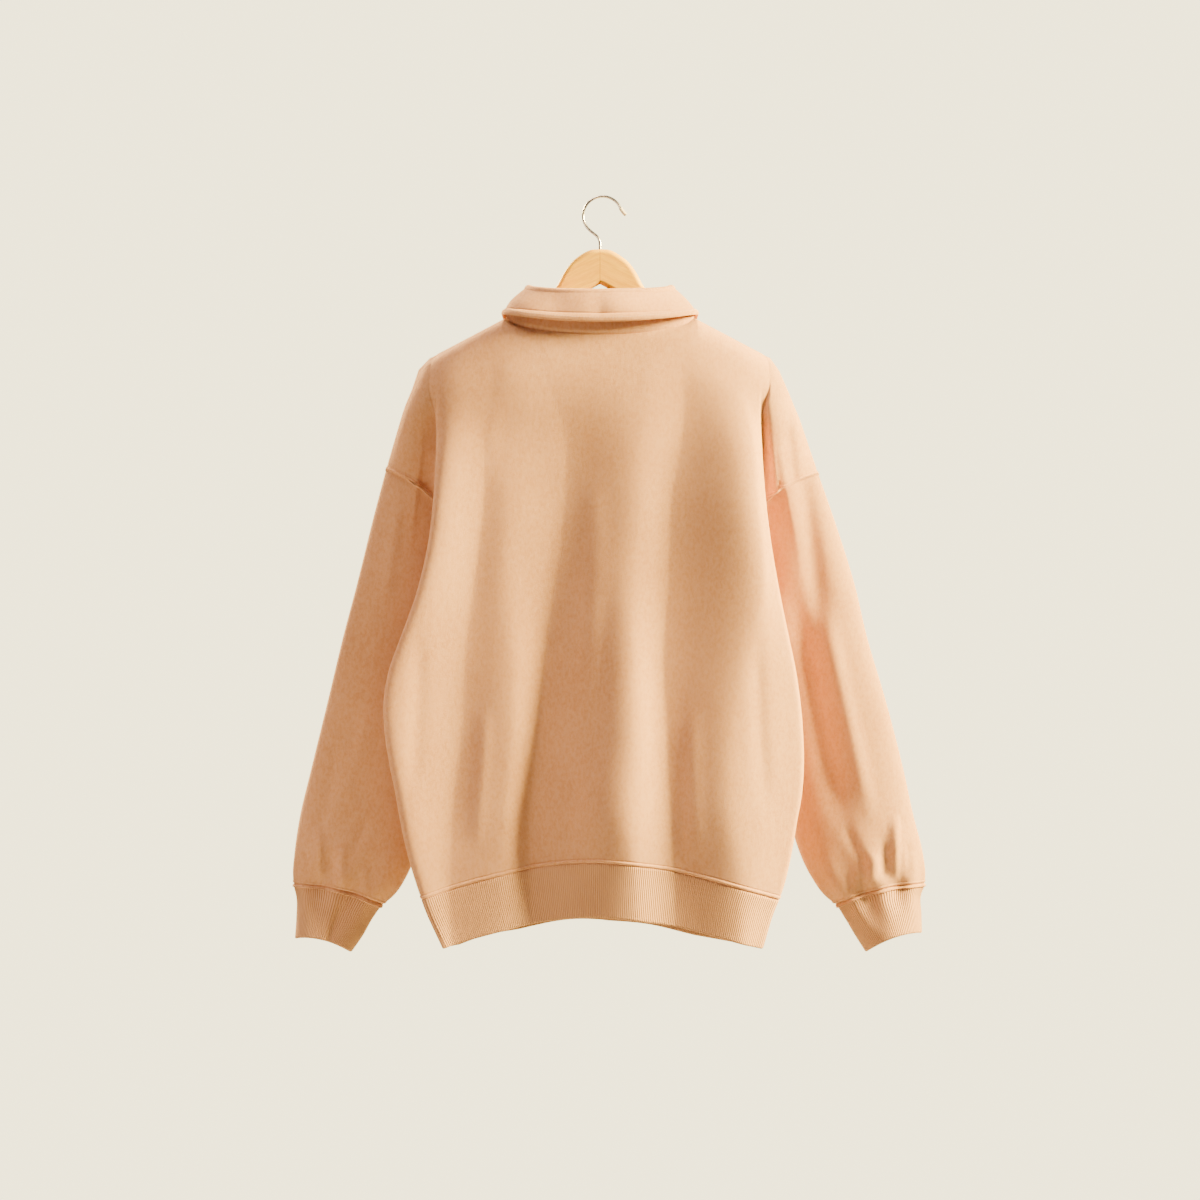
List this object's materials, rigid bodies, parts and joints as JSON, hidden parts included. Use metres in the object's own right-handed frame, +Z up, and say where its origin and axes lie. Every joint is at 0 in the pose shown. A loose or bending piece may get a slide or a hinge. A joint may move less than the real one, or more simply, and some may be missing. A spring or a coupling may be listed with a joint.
{
  "type": "polo sweater on a wooden clothes hanger",
  "caption": "Oversized long-sleeved polo sweater of heavy brushed jersey with dropped shoulders, fold-over collar and ribbed cuffs and hem, hanging on a wooden hanger with a wire hook.",
  "frame": {"origin": "highest point inside the arc of the wire hook, where a rail or wall hook carries the hanger", "axes": "+Z up, +Y out of the sweater's front, +X towards the viewer's right when seen from behind"},
  "size_m": [0.7154, 0.1088, 0.8555],
  "materials": {
    "jersey": "peach heavy jersey, brushed, matt",
    "rib": "fine rib knit in the same yarn",
    "button": "semi-gloss, dyed to match",
    "wood": "pale wood, clear satin varnish",
    "wire": "bright plated steel"
  },
  "bodies": {
    "root": {"back": "jersey", "front": "jersey", "sleeve_left": "jersey", "sleeve_right": "jersey", "collar": "jersey", "placket_over": "jersey", "placket_under": "jersey", "hem_rib": "rib", "cuff_left": "rib", "cuff_right": "rib", "button_1": "button", "button_2": "button", "button_3": "button", "hanger_wood": "wood", "hanger_hook": "wire"}
  },
  "joints": []
}
